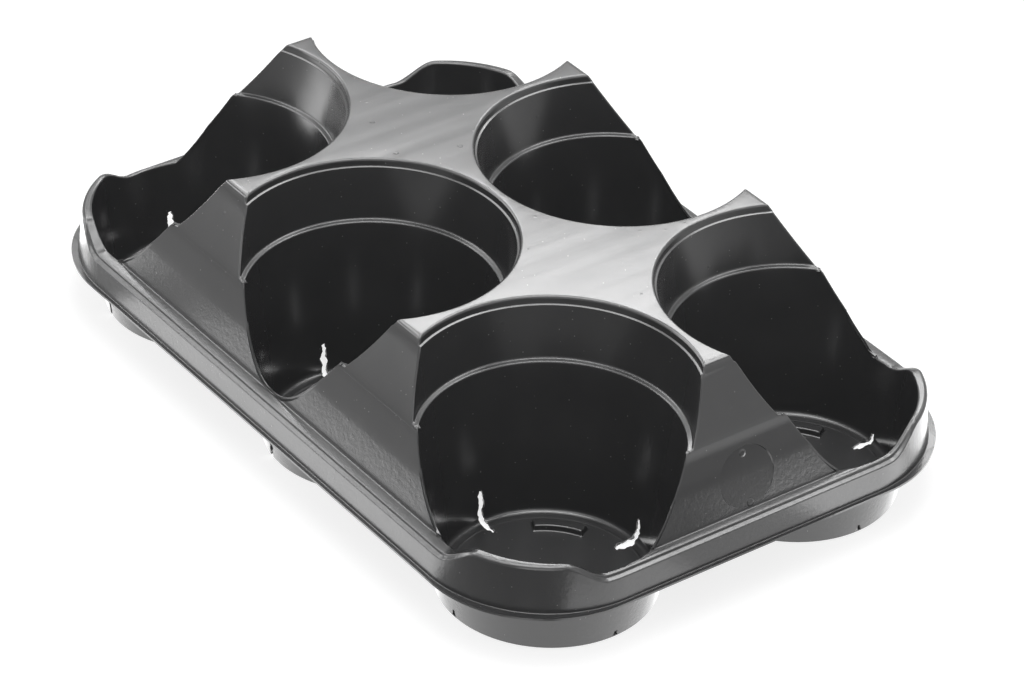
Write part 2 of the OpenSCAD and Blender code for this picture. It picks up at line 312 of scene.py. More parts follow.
def lift_lips(skirt_top, step_inner, riser_top, crown, ledge_inner):
    """A row has a loop, its distance and height on the ledge, and its distance and drop on the lip.
    The crown slips into the well before the lip rises."""
    for verts, u, z, u_lip, drop in ((skirt_top, corner_r, STEP_Z - CROWN, lip_u, 1.7),
                                     (step_inner, riser_u, STEP_Z, lip_u - 0.44, 0.64),
                                     (riser_top, riser_u, LEDGE_Z - CROWN, lip_u - 1.5, 0.2),
                                     (crown, riser_u - CROWN_W, LEDGE_Z, lip_u - 8, 0.0),
                                     (ledge_inner, ledge_inner_u, LEDGE_Z, ledge_inner_u, 0.0)):
        for v in verts:
            lift = lip_lift(corner_direction(v)[1])
            inward = smooth_rise(lift, 0, CROWN_INSIDE_AT) if verts is crown else lift
            set_level([v], u + (u_lip - u) * inward, z + (LIP_Z - drop - z) * lift)


print("a lip's outer face is", round(lip_u, 2), "mm from the corner's centre")

# %% [markdown]
# ## The mould: the rim
# The rim could be swept along a path, but a sweep with tight corners easily folds. Here the rounded
# rectangle at the step is extruded twice from the same face: upwards and inwards to the ledge, and
# downwards to the flange, whose trimmed edge has a tighter corner of its own.

# %% Rim
CORNER_STEPS = 64
FLANGE_W, FLANGE_TIGHT = 1.8, 1.4
INSIDE_U, INSIDE_Z = corner_r - 3, -10


def rounded_rectangle(bm):
    bmesh.ops.create_grid(bm, x_segments=1, y_segments=1, size=1.0)
    for v in bm.verts:
        v.co.x *= corner[0] + corner_r
        v.co.y *= corner[1] + corner_r
        v.co.z = STEP_Z
    bmesh.ops.bevel(bm, geom=bm.verts[:], offset=corner_r, affect="VERTICES", segments=CORNER_STEPS,
                    profile=0.5, material=-1)
    return bm.faces[:][0]


def rim():
    bm = bmesh.new()
    cap = rounded_rectangle(bm)
    loops = [cap.verts[:]]
    upper = cap
    for u, z in ((riser_u, STEP_Z), (riser_u, LEDGE_Z), (riser_u - CROWN_W, LEDGE_Z),
                 (ledge_inner_u, LEDGE_Z)):
        upper = grow(bm, upper, u, z, keep=upper is cap)
        loops.append(upper.verts[:])
    grow(bm, upper, riser_u - 12, LEDGE_Z)

    flange_u = corner_r - FLANGE_TIGHT
    flange_spread = skirt_u(FLANGE_Z) + FLANGE_W - flange_u
    lower = grow(bm, cap, skirt_u(FLANGE_Z), FLANGE_Z)
    lower = grow(bm, lower, flange_u, FLANGE_Z, flange_spread)
    lower = grow(bm, lower, flange_u, FLANGE_Z - SHEET, flange_spread)
    lower = grow(bm, lower, INSIDE_U, FLANGE_Z - SHEET)
    grow(bm, lower, INSIDE_U, INSIDE_Z)
    lift_lips(*loops)
    return new_object("rim", bm, RIM)


rim_block = rim()
print("rim:", len(rim_block.data.polygons), "faces")

# %% [markdown]
# ## The mould: outline of a well
# A pot well is a turned shape, so it is enough to draw half of its outline, from the middle of the floor
# outwards and up. The outline runs past the deck, because a cutter that ends flush with a face leaves
# scraps there. A few extra points on the wall keep its faces from getting too long.

# %% Outline of a well
FLOOR_RING_R, FLOOR_RING_HALF_W, FLOOR_RING_H = 42.6, 0.7, 0.22
WALL_RINGS = (12, 24, 35, 62)
SPACE_TOP = 113
BAR_RADII = (32.8, 38.8)


def well_outline():
    """Radius and height of the outline's points, from the floor's middle up to above the deck."""
    points = [(0, SHEET), (BAR_RADII[0], SHEET), (BAR_RADII[1], SHEET),
              (FLOOR_RING_R - FLOOR_RING_HALF_W, SHEET), (FLOOR_RING_R, SHEET + FLOOR_RING_H),
              (FLOOR_RING_R + FLOOR_RING_HALF_W, SHEET), (wall_r(SHEET), SHEET)]
    points += [(wall_r(z), z) for z in WALL_RINGS]
    top_r = STOP_OUTER_R + (SPACE_TOP - STOP_Z) * slope(UPPER_DRAFT)
    points += [(stop_inner_r, STOP_Z - STOP_FALL), (STOP_OUTER_R, STOP_Z)]
    return points + [(top_r, SPACE_TOP), (0, SPACE_TOP)]


print("outline of a well:", len(well_outline()), "points")

# %% [markdown]
# ## The mould: six wells
# The outline is spun about Z into the space that a pot takes up. The raised bars on the floor, which keep
# a pot out of the wet, are pressed into the bottom of that shape with a region inset, so they need no
# Boolean of their own. One well is made and copied six times.

# %% Well spaces
WELL_STEPS = 96
BAR_TURNS, BAR_HALF_SPAN = (135, 315), 20
BAR_BEVEL, BAR_H = 0.5, 2.6


def press_bars(bm):
    for turn in BAR_TURNS:
        bar = []
        for face in bm.faces:
            middle = face.calc_center_median()
            away = (degrees(atan2(middle.y, middle.x)) - turn + 180) % 360 - 180
            on_ring = near(middle.z, SHEET) and BAR_RADII[0] < middle.xy.length < BAR_RADII[1]
            if on_ring and abs(away) < BAR_HALF_SPAN:
                bar.append(face)
        bmesh.ops.inset_region(bm, faces=bar, thickness=BAR_BEVEL, depth=-BAR_H, use_even_offset=True)


def well_spaces():
    bm = bmesh.new()
    points = [bm.verts.new((r, 0, z)) for r, z in well_outline()]
    edges = [bm.edges.new(pair) for pair in zip(points, points[1:])]
    bmesh.ops.spin(bm, geom=points + edges, axis=(0, 0, 1), cent=(0, 0, 0), steps=WELL_STEPS,
                   angle=2 * pi, use_merge=True)
    bmesh.ops.remove_doubles(bm, verts=bm.verts, dist=0.01)
    bmesh.ops.recalc_face_normals(bm, faces=bm.faces)
    press_bars(bm)
    one = bpy.data.meshes.new("one_well")
    bm.to_mesh(one)
    bm.free()
    whole = bmesh.new()
    for x, y in WELLS:
        start = len(whole.verts)
        whole.from_mesh(one)
        whole.verts.ensure_lookup_table()
        bmesh.ops.translate(whole, verts=whole.verts[start:], vec=(x, y, 0))
    return new_object("well_spaces", whole, WELL)


wells = well_spaces()
print("well spaces:", len(wells.data.polygons), "faces")

# %% [markdown]
# ## The mould: a plain recess
# The gusset at the right-hand end has a shallow round recess. A flat cone is turned to the gusset's
# slope and sunk into it, with its wide end drawn out so that the Boolean cuts cleanly.

# %% Recess
RECESS_Y, RECESS_Z = 2.0, 54.2
RECESS_R, RECESS_DEPTH, RECESS_TAPER = 14.5, 0.55, 0.5
RECESS_REACH = 10


def recess_disc():
    bm = bmesh.new()
    bmesh.ops.create_cone(bm, cap_ends=True, segments=72, radius1=RECESS_R - RECESS_TAPER, radius2=RECESS_R,
                          depth=RECESS_DEPTH)
    bmesh.ops.translate(bm, verts=bm.verts, vec=(0, 0, -RECESS_DEPTH / 2))
    mouth = extruded(bm, max(bm.faces, key=lambda face: face.calc_center_median().z))
    bmesh.ops.translate(bm, verts=mouth.verts, vec=(0, 0, RECESS_REACH))
    tilt = radians(90 - (LEAN_MID + LEAN_FOOT) / 2)
    bmesh.ops.rotate(bm, verts=bm.verts, cent=(0, 0, 0), matrix=Matrix.Rotation(tilt, 3, "Y"))
    bmesh.ops.translate(bm, verts=bm.verts, vec=Vector((body_half(0, RECESS_Z), RECESS_Y, RECESS_Z)))
    return new_object("recess_disc", bm, RECESS)


disc = recess_disc()
print("recess:", len(disc.data.polygons), "faces")

# %% [markdown]
# ## One skin over the mould
# Boolean modifiers join the body and the rim and take the wells and the recess out. What is left of
# the surface above the flange is the skin of the tray, so the faces below it are deleted. A Boolean
# may give its points in another order the next time. The steps that follow depend on that order, so
# every finished mesh is sorted by place.

# %% Join and cut
POINT_MERGE, SHORTEST_EDGE = 0.08, 0.05


def edges_with(bm, count):
    """Number of edges with this many faces. In a closed sheet every edge has two."""
    return len([e for e in bm.edges if len(e.link_faces) == count])


def place_number(p):
    """One number for a place, to sort by. The odd shares keep the tray's mirrored places apart."""
    return p.x + 0.7319 * p.y + 0.4143 * p.z


def finished_mesh(made):
    """The object's mesh with its modifiers in it, as a bmesh, in an order that follows the places."""
    bpy.context.view_layer.update()
    evaluated = made.evaluated_get(bpy.context.evaluated_depsgraph_get())
    bm = bmesh.new()
    bm.from_mesh(evaluated.to_mesh())
    evaluated.to_mesh_clear()
    bm.verts.sort(key=lambda v: place_number(v.co))
    bm.edges.sort(key=lambda e: place_number(e.verts[0].co + e.verts[1].co))
    bm.faces.sort(key=lambda f: place_number(f.calc_center_median()))
    return bm


for operand, operation in ((body, "UNION"), (wells, "DIFFERENCE"), (disc, "DIFFERENCE")):
    cut = rim_block.modifiers.new(operation.title(), "BOOLEAN")
    cut.object, cut.operation, cut.solver = operand, operation, "EXACT"
skin = finished_mesh(rim_block)
hidden = [face for face in skin.faces
          if face.material_index != WELL and min(v.co.z for v in face.verts) < FLANGE_Z - SHEET / 2]
bmesh.ops.delete(skin, geom=hidden, context="FACES")
bmesh.ops.remove_doubles(skin, verts=skin.verts, dist=POINT_MERGE)
bmesh.ops.dissolve_degenerate(skin, dist=SHORTEST_EDGE, edges=skin.edges)
for tool in (rim_block, body, wells, disc):
    bpy.data.objects.remove(tool)
print("skin:", len(skin.faces), "faces,", edges_with(skin, 1), "open edges,",
      edges_with(skin, 3), "edges with three faces")

# %% [markdown]
# ## Getting the edges ready for rounding
# A rounding needs room on both sides. Where a gusset runs out between the ledge and a well, the strip
# beside the line at its foot gets ever narrower, so the rounding has to get narrower with it. The long
# lines at the gussets' feet are therefore cut at several places, and very short edges along the
# wells' seams are merged.

# %% Cut the foot lines
SEAM_MERGE = 0.8
FOOT_CUTS = (0.9, 1.9, 3.2, 5.0)
FOOT_CUT_STEP, FOOT_CUT_REACH = 2, 32
LONG_LINE = 4


def groups(element):
    """Numbers of the mould's parts that meet at an edge or a point."""
    return {face.material_index for face in element.link_faces}


def split_foot_edges(bm):
    """Cuts the long foot lines near their ends, and those beside the middle wells all along."""
    foot_lines = [e for e in bm.edges if len(e.link_faces) == 2 and groups(e) == {BODY, RIM}]
    for edge in [e for e in foot_lines if e.calc_length() > LONG_LINE]:
        ends = [v.co.copy() for v in edge.verts]
        along = (ends[1] - ends[0]).normalized()
        length = edge.calc_length()
        places = {d for near_end in FOOT_CUTS for d in (near_end, length - near_end)}
        if abs(along.x) > 0.99:
            middle_part = range(-FOOT_CUT_REACH, FOOT_CUT_REACH + 1, FOOT_CUT_STEP)
            places |= {x - ends[0].x if along.x > 0 else ends[0].x - x for x in middle_part}
        pieces = [edge]
        for d in sorted(p for p in places if 0.5 < p < length - 0.5):
            here = [e for e in pieces if e.is_valid]
            ends_here = list(dict.fromkeys(v for e in here for v in e.verts))
            cut = bmesh.ops.bisect_plane(bm, geom=here + ends_here, dist=0.0001,
                                         plane_co=ends[0] + along * d, plane_no=along)
            grown = [g for g in cut["geom"] if isinstance(g, bmesh.types.BMEdge)]
            pieces = [e for e in dict.fromkeys(here + grown) if e.is_valid]


seam = [v for e in skin.edges for v in e.verts if WELL in groups(e) and len(groups(e)) == 2]
bmesh.ops.remove_doubles(skin, verts=list(dict.fromkeys(seam)), dist=SEAM_MERGE)
split_foot_edges(skin)
skin.normal_update()
rim_meets_body = [v.co.copy() for v in skin.verts if {BODY, RIM, WELL} <= groups(v)]
print("the rim, the body and a well meet at", len(rim_meets_body), "points")

# %% [markdown]
# ## How round a well's edges are
# A formed sheet has no sharp corner, but its corners aren't alike: the mouth and the floor of a well
# are well rounded, its stop ledge less so. Functions give each edge its rounding in millimetres. They
# look at the edge's height and place, because selecting the edges by hand couldn't be repeated.

# %% Edges of a well
WELL_EDGE, MOUTH_EDGE = 1.15, 1.2
STOP_END_EDGE, STOP_EDGE, STOP_EDGE_NEAR_END = 0.7, 0.6, 0.4
FLOOR_EDGE, BAR_EDGE = 2.2, 0.6
MIDDLE_STRIP_X, STRIP_EDGE_LEAST, STRIP_EDGE_SHARE = 40, 0.25, 0.45


def nearest_well(p):
    return min(WELLS, key=lambda w: hypot(p.x - w[0], p.y - w[1]))


def gusset_edge(edge, middle):
    """Rounding between the raised body and a well."""
    flat = [face for face in edge.link_faces if face.material_index == BODY][0]
    if flat.normal.z > 0.99:
        return MOUTH_EDGE
    if all(STOP_Z - STOP_FALL - 0.1 < v.co.z < STOP_Z + 0.1 for v in edge.verts):
        return STOP_END_EDGE
    if abs(middle.x) > MIDDLE_STRIP_X:
        return WELL_EDGE
    return max(STRIP_EDGE_LEAST, min(WELL_EDGE, STRIP_EDGE_SHARE * (middle.z - LEDGE_Z)))


def inner_edge(middle, bend):
    """Rounding inside a well: its floor, its stop ledge and the bars."""
    wx, wy = nearest_well(middle)
    if near(middle.z, SHEET) and near(hypot(middle.x - wx, middle.y - wy), wall_r(SHEET), 0.2):
        return FLOOR_EDGE
    if near(middle.z, STOP_Z, 0.1) or near(middle.z, STOP_Z - STOP_FALL, 0.1):
        to_end = min(body_half(axis, STOP_Z) - abs(middle[axis]) for axis in (0, 1))
        return (STOP_EDGE if to_end > 6 else STOP_EDGE_NEAR_END) if bend > 15 else 0.0
    return BAR_EDGE if bend > 30 and middle.z < 6 else 0.0


print("a well's floor edge reaches", FLOOR_EDGE, "mm, its mouth's", MOUTH_EDGE, "mm")

# %% [markdown]
# ## How round every edge is
# Which parts of the mould meet at an edge tells what kind of edge it is. The steps of the rim are only
# rounded where they really bend. At the foot of a gusset the rounding must fit on the strip of gusset
# above it, so the height of that strip is searched for first.

# %% Rounding of an edge
TIP_EDGE, FOOT_EDGE, FOOT_EDGE_LEAST, FLANGE_EDGE, RIM_EDGE = 1.3, 0.4, 0.2, 0.4, 0.45
STRIP_TOP, STRIP_STEP = 60, 0.1


def strip_height(p):
    """Height above the ledge where a gusset that starts at p ends at a well."""
    axis = 0 if near(abs(p.x), foot[0], 0.5) else 1
    z = LEDGE_Z
    while z < STRIP_TOP:
        q = Vector((p.x, p.y))
        q[axis] = body_half(axis, z) * side_of(p[axis])
        wx, wy = nearest_well(q)
        if hypot(q.x - wx, q.y - wy) < wall_r(z):
            break
        z += STRIP_STEP
    return z - LEDGE_Z


def edge_round(edge):
    """How far the rounding of an edge reaches, in millimetres."""
    pair = groups(edge)
    middle = (edge.verts[0].co + edge.verts[1].co) / 2
    bend = degrees(edge.calc_face_angle(0.0))
    if pair == {BODY, WELL}:
        return gusset_edge(edge, middle)
    if pair == {BODY, RIM}:
        return max(FOOT_EDGE_LEAST, min(FOOT_EDGE, FOOT_EDGE * strip_height(middle)))
    if pair == {RIM, WELL}:
        return WELL_EDGE
    if RECESS in pair:
        return 0.0
    if pair == {BODY}:
        return TIP_EDGE if near(middle.z, DECK_Z) else 0.0
    if pair == {WELL}:
        return inner_edge(middle, bend)
    if near(middle.z, FLANGE_Z):
        return FLANGE_EDGE if bend > 20 else 0.0
    return RIM_EDGE * smooth_rise(bend, 12, 30)


rounds = [edge_round(edge) if len(edge.link_faces) == 2 else 0.0 for edge in skin.edges]
print("edges to round:", len([r for r in rounds if r > 0]), "of", len(rounds))

# %% [markdown]
# ## Rounding every edge
# One Bevel modifier rounds all the edges at once, which is the only way to get clean corners where
# several roundings meet. Its width is the largest rounding, and a weight on each edge takes its share.

# %% Round the edges
ROUND_MAX = 3.0

weight = skin.edges.layers.float.new("bevel_weight_edge")
for edge, reach in zip(skin.edges, rounds):
    edge[weight] = reach / ROUND_MAX
tray = new_object("tray_sheet", skin.copy(), BODY)
skin.free()
rounding = tray.modifiers.new("Rounding", "BEVEL")
rounding.limit_method, rounding.width = "WEIGHT", ROUND_MAX
rounding.segments, rounding.profile = 4, 0.5
rounding.use_clamp_overlap = False
rounding.loop_slide = True
rounded = finished_mesh(tray)
tray.modifiers.remove(rounding)
print("rounded skin:", len(rounded.faces), "faces")

# %% [markdown]
# ## Where rim, gusset and well meet
# At eight points three parts meet at flat angles, and there the Bevel leaves small spikes. On the real
# sheet these points are soft, so a few rounds of smoothing are enough.

# %% Smooth the meeting points
MEETING_REACH, MEETING_ROUNDS = 2.6, 4

smoothed = 0
for meeting in rim_meets_body:
    around_it = [v for v in rounded.verts if (v.co - meeting).length < MEETING_REACH]
    smoothed += len(around_it)
    for _ in range(MEETING_ROUNDS):
        bmesh.ops.smooth_vert(rounded, verts=around_it, factor=0.5, use_axis_x=True, use_axis_y=True,
                              use_axis_z=True)
print("smoothed points:", smoothed)

# %% [markdown]
# ## Soft folds
# The folds across the gussets are soft bends on the real tray. A Bevel would be far too tight for
# them, so the skin is cut beside each fold, and the points near it move onto the eased slope.

# %% Soft folds
FOLD_SOFT = 3.0


def cut_level(bm, z):
    """Cuts the whole mesh at a height, without taking anything away."""
    bmesh.ops.bisect_plane(bm, geom=bm.verts[:] + bm.edges[:] + bm.faces[:], dist=0.0001,
                           plane_co=(0, 0, z), plane_no=(0, 0, 1))


for fold in (FOLD_TOP_Z, FOLD_LOW_Z):
    for part in (-1, -0.5, 0.5, 1):
        cut_level(rounded, fold + part * FOLD_SOFT)
eased = 0
for v in rounded.verts:
    for axis in (0, 1):
        if near(abs(v.co[axis]), body_half(axis, v.co.z), 0.05) and v.co.z > LEDGE_Z + 3:
            v.co[axis] = body_half(axis, v.co.z, FOLD_SOFT) * side_of(v.co[axis])
            eased += 1
print("points on the gussets:", eased)

# %% [markdown]
# ## Step at the mouth
# Just below each mouth the wall steps outwards by less than a millimetre, which shows as a thin
# bright line. It is too small for the mould's outline, where the roundings would run into it, so the
# skin is cut at two close heights and everything above them moves away from the well's axis.

# %% Step at the mouth
MOUTH_STEP_Z, MOUTH_STEP_W, MOUTH_STEP_HALF_H = 98.5, 0.8, 0.16
MOUTH_REACH = 64.6

for z in (MOUTH_STEP_Z - MOUTH_STEP_HALF_H, MOUTH_STEP_Z + MOUTH_STEP_HALF_H):
    cut_level(rounded, z)
stepped = 0
for v in rounded.verts:
    if v.co.z > MOUTH_STEP_Z:
        wx, wy = nearest_well(v.co)
        out = Vector((v.co.x - wx, v.co.y - wy, 0))
        if out.length < MOUTH_REACH:
            v.co += out.normalized() * MOUTH_STEP_W
            stepped += 1
bmesh.ops.remove_doubles(rounded, verts=rounded.verts, dist=0.01)
rounded.to_mesh(tray.data)
rounded.free()
print("points moved for the step:", stepped)

# %% [markdown]
# ## Thickness
# Solidify gives the skin its thickness on the hidden side. Under a well it also turns the rounding of
# the floor into a wider one outside. The real cups stand on a tighter edge, so those points are drawn
# towards the corner. Large faces become triangles, because the next Boolean is safer with them.

# %% Thickness
BASE_EDGE = 0.8
LARGEST_FACE = 8

thick = tray.modifiers.new("Thickness", "SOLIDIFY")
thick.thickness, thick.offset = SHEET, -1
solid = finished_mesh(tray)
tray.modifiers.remove(thick)
base_r = wall_r(SHEET) + SHEET * (1 - sin(radians(WALL_DRAFT))) / cos(radians(WALL_DRAFT))
outer_round = FLOOR_EDGE / slope((90 - WALL_DRAFT) / 2) + SHEET
keep = BASE_EDGE / outer_round
moved = 0
for v in solid.verts:
    wx, wy = nearest_well(v.co)
    out = Vector((v.co.x - wx, v.co.y - wy, 0))
    from_centre = hypot(out.length - (wall_r(SHEET) - FLOOR_EDGE), v.co.z - outer_round)
    if v.co.z < outer_round and out.length > base_r - 3.2 and near(from_centre, outer_round, 0.25):
        out = out.normalized() * (base_r + (out.length - base_r) * keep)
        v.co = Vector((wx, wy, v.co.z * keep)) + out
        moved += 1
bmesh.ops.triangulate(solid, faces=[face for face in solid.faces if len(face.verts) > LARGEST_FACE])
solid.to_mesh(tray.data)
solid.free()
print("thick sheet:", len(tray.data.polygons), "faces;", moved, "points of the base edge made tighter")

# %% [markdown]
# ## Drain slots: a sliced block
# Water leaves through slots in the corner of floor and wall. A texture couldn't open a hole, so each slot
# is cut with a thin upright block. It is sliced along its length and its height first, which gives it
# points that can be moved.

# %% Block for one slot
SLOT_W, SLOT_LENGTH, SLOT_SLICE = 2.7, 20, 1.1


def sliced_block(top, low, end_r):
    """A thin block from the slot's end on the floor outwards, cut into slices along X and Z."""
    block = bmesh.new()
    bmesh.ops.create_cube(block, size=1.0)
    bmesh.ops.scale(block, verts=block.verts, vec=(SLOT_LENGTH, SLOT_W, top - low))
    bmesh.ops.translate(block, verts=block.verts, vec=(end_r + SLOT_LENGTH / 2, 0, (top + low) / 2))
    for axis in (0, 2):
        first, last = min(v.co[axis] for v in block.verts), max(v.co[axis] for v in block.verts)
        cuts = int((last - first) / SLOT_SLICE)
        for number in range(1, cuts):
            at, across = Vector((0, 0, 0)), Vector((0, 0, 0))
            at[axis], across[axis] = first + (last - first) * number / cuts, 1
            bmesh.ops.bisect_plane(block, geom=block.verts[:] + block.edges[:] + block.faces[:], dist=0.0001,
                                   plane_co=at, plane_no=across)
    return block


print("a slot is", SLOT_W, "mm wide before it tears")

# %% [markdown]
# ## Drain slots: torn edges
# The real slots were punched in the cold sheet, which tore, so their edges are ragged. The two sides of
# the block wander, and its ends get narrower. The wander comes from a generator that is started with the
# same number each time, so that every run gives the same tears.

# %% Tear one slot
NICK_END_R, NICK_LOW, SLOT_LOW = 45, 0.9, -4
END_REACH, END_SHARE = 1.5, 0.55
BEND, SIDE_TEAR, END_TEAR = 0.5, 0.42, 0.6


def tear(block, top, end_r, foot_share, dice):
    """Bends the slot, makes its sides ragged and narrows its two ends."""
    bend = [dice.uniform(-BEND, BEND) for _ in range(3)]
    for v in block.verts:
        along = v.co.z + 0.8 * (57 - v.co.x)
        wander = bend[0] * sin(along * 0.42 + bend[1] * 9) + bend[2] * sin(along * 0.9)
        if v.co.z < 1.6 and v.co.x < 46:
            v.co.y *= foot_share
        v.co.y += wander + dice.uniform(-SIDE_TEAR, SIDE_TEAR)
        if v.co.z > top - END_REACH or v.co.x < end_r + END_REACH:
            v.co.y *= END_SHARE
            v.co.z += dice.uniform(-END_TEAR, END_TEAR)
            v.co.x += dice.uniform(-END_TEAR, END_TEAR)


def torn_slot(bm, well, turn, top, end_r, foot_share, dice):
    """Adds one slot's cutter to a bmesh. A slot that ends in the wall is a nick and leaves the floor."""
    block = sliced_block(top, NICK_LOW if end_r > NICK_END_R else SLOT_LOW, end_r)
    tear(block, top, end_r, foot_share, dice)
    bmesh.ops.rotate(block, verts=block.verts, cent=(0, 0, 0), matrix=Matrix.Rotation(radians(turn), 3, "Z"))
    bmesh.ops.translate(block, verts=block.verts, vec=(well[0], well[1], 0))
    bmesh.ops.triangulate(block, faces=block.faces)
    bmesh.ops.recalc_face_normals(block, faces=block.faces)
    piece = bpy.data.meshes.new("one_slot")
    block.to_mesh(piece)
    block.free()
    bm.from_mesh(piece)
    bpy.data.meshes.remove(piece)


print("a slot's sides tear by up to", SIDE_TEAR, "mm and its ends by", END_TEAR, "mm")

# %% [markdown]
# ## Drain slots: where they are
# Each well has four slots, a quarter turn apart, and each column of wells was punched at a slightly
# different angle. Most tears are alike. Those that the photograph shows otherwise are listed by column,
# row and quarter, with their top, their end on the floor and the width of their foot.

# %% Punch the slots
SLOT_TURNS = {-1: -11.0, 0: -8.5, 1: 0.0}
USUAL_SLOT = (15.4, 38.2, 1.1)
ODD_SLOTS = {(1, -1, 90): (11.5, 36.3, 1.7), (1, -1, 0): (3.6, 45.4, 1.0), (1, -1, 270): (3.8, 45.4, 1.0),
             (1, -1, 180): (16.2, 38.6, 1.2), (1, 1, 90): (4.4, 36.6, 1.3), (1, 1, 0): (3.6, 45.4, 1.0),
             (0, -1, 180): (15.4, 38.2, 1.6)}

dice = random.Random(7)
cutters = bmesh.new()
for well in WELLS:
    column, row = round(well[0] / END_X), round(well[1] / ROW_Y)
    for quarter in (0, 90, 180, 270):
        top, end_r, foot_share = ODD_SLOTS.get((column, row, quarter), USUAL_SLOT)
        torn_slot(cutters, well, quarter + SLOT_TURNS[column], top, end_r, foot_share, dice)
slots = new_object("torn_slots", cutters, WELL)
punch = tray.modifiers.new("Slots", "BOOLEAN")
punch.object, punch.operation, punch.solver = slots, "DIFFERENCE", "EXACT"
sheet = finished_mesh(tray)
tray.modifiers.clear()
bpy.data.objects.remove(slots)
print("punched sheet:", len(sheet.faces), "faces,", edges_with(sheet, 1), "open edges")

# %% [markdown]
# ## The finished piece
# The sheet is scaled to metres and shaded smooth. Only edges that bend sharply stay sharp, and the
# normals are weighted by area, so that the large flat faces look flat up to their roundings. The
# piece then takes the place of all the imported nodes, because the real tray is one sheet.

# %% Scale, shade and hand over
SHARP_ANGLE = 38

bmesh.ops.scale(sheet, verts=sheet.verts, vec=(0.001, 0.001, 0.001))
sheet.to_mesh(tray.data)
sheet.free()
for polygon in tray.data.polygons:
    polygon.use_smooth = True
tray.data.set_sharp_from_angle(angle=radians(SHARP_ANGLE))
normals = tray.modifiers.new("Normals", "WEIGHTED_NORMAL")
normals.keep_sharp = True

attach(tray, "root")
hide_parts(*frame["nodes"])
triangles = sum(len(p.vertices) - 2 for p in tray.data.polygons)
print("tray sheet:", len(tray.data.polygons), "faces,", triangles, "triangles")

# %% [markdown]
# ## Plastic: where it is grained
# The sheet is black plastic with a satin face. The skirt and the feet of the gussets carry the grain
# of the mould, and the rest is smoother. A painted mask would need a UV map, but the grained parts are
# simply the low, outer ones, so object coordinates in metres are enough.

# %% Node helpers and the grain's mask
def node(tree, kind, inputs=None, **settings):
    """Adds a node. Inputs are given by name or number, as a value or as a socket to link."""
    made = tree.nodes.new("ShaderNode" + kind)
    for name, value in settings.items():
        setattr(made, name, value)
    for key, value in (inputs or {}).items():
        if isinstance(value, bpy.types.NodeSocket):
            tree.links.new(value, made.inputs[key])
        else:
            made.inputs[key].default_value = value
    return made


def math_node(tree, operation, first, second=0.0, clamp=False):
    return node(tree, "Math", {0: first, 1: second}, operation=operation, use_clamp=clamp).outputs[0]


def ramp(tree, value, low, high, to_low=0.0, to_high=1.0):
    """A smooth step of a value between two limits."""
    made = node(tree, "MapRange", {"Value": value, "From Min": low, "From Max": high, "To Min": to_low,
                                   "To Max": to_high}, interpolation_type="SMOOTHSTEP")
    return made.outputs["Result"]


plastic = bpy.data.materials.new("tray_plastic")
plastic.use_nodes = True
tree = plastic.node_tree
place = node(tree, "TexCoord").outputs["Object"]
axes = node(tree, "SeparateXYZ", {0: place}).outputs
far_x = ramp(tree, math_node(tree, "ABSOLUTE", axes["X"]), 0.1765, 0.1785)
far_y = ramp(tree, math_node(tree, "ABSOLUTE", axes["Y"]), 0.1130, 0.1150)
low_down = ramp(tree, axes["Z"], 0.061, 0.054)
low_part = math_node(tree, "MULTIPLY", low_down, math_node(tree, "MAXIMUM", far_x, far_y))
print("grain mask:", len(tree.nodes), "nodes")

# %% [markdown]
# ## Plastic: grain, streaks and waves
# Up close the sheet isn't even: it has a fine grain, soft streaks across the deck and slow waves. All are
# far below a millimetre, so they are heights for a Bump node and not geometry. Each height is in metres,
# so that it can be judged.

# %% Grain, streaks and waves
GRAIN_FINE, GRAIN_COARSE = 0.000016, 0.0001
STREAK_ELSEWHERE, STREAK_ON_DECK, WAVE = 0.00008, 0.0002, 0.00006

grain = node(tree, "TexNoise", {"Vector": place, "Scale": 480.0, "Detail": 3.0, "Roughness": 0.6})
grain_height = math_node(tree, "MULTIPLY", grain.outputs["Fac"],
                         ramp(tree, low_part, 0.0, 1.0, GRAIN_FINE, GRAIN_COARSE))

across = node(tree, "Mapping", {"Vector": place, "Scale": (70.0, 4.0, 40.0)}).outputs["Vector"]
streak_noise = node(tree, "TexNoise", {"Vector": across, "Scale": 1.0, "Detail": 1.5, "Roughness": 0.5})
streaks = streak_noise.outputs["Fac"]
streak_height = ramp(tree, axes["Z"], 0.0995, 0.1015, STREAK_ELSEWHERE, STREAK_ON_DECK)
waves = node(tree, "TexNoise", {"Vector": place, "Scale": 45.0, "Detail": 2.0}).outputs["Fac"]
slow_height = math_node(tree, "ADD", math_node(tree, "MULTIPLY", streaks, streak_height),
                        math_node(tree, "MULTIPLY", waves, WAVE))
print("grain, streaks and waves:", len(tree.nodes), "nodes")

# %% [markdown]
# ## Plastic: pits, pips and dents
# There are also tiny pits everywhere, two round pips on the end gusset and three dents in the deck. The
# pits are cells of a Voronoi texture, of which only some are picked. The pips and dents have places of
# their own, so each is a smooth step of the distance from its place.

# %% Pits, pips and dents
PIT = 0.00004
PIPS = ((0.1744, 0.0015, 0.0643), (0.1812, 0.0023, 0.0425))
DENTS = ((-0.0508, -0.0187, 0.102), (-0.0783, -0.0127, 0.102), (-0.0399, 0.0084, 0.102))
PIP_R, PIP_H, DENT_R, DENT_H = 0.0021, 0.00022, 0.0013, -0.0002

pits = node(tree, "TexVoronoi", {"Vector": place, "Scale": 150.0})
pit_pick = node(tree, "SeparateColor", {0: pits.outputs["Color"]}).outputs[0]
pit = math_node(tree, "MULTIPLY", ramp(tree, pits.outputs["Distance"], 0.16, 0.03),
                ramp(tree, pit_pick, 0.72, 0.76))
relief = math_node(tree, "ADD", math_node(tree, "ADD", grain_height, slow_height),
                   math_node(tree, "MULTIPLY", pit, PIT))

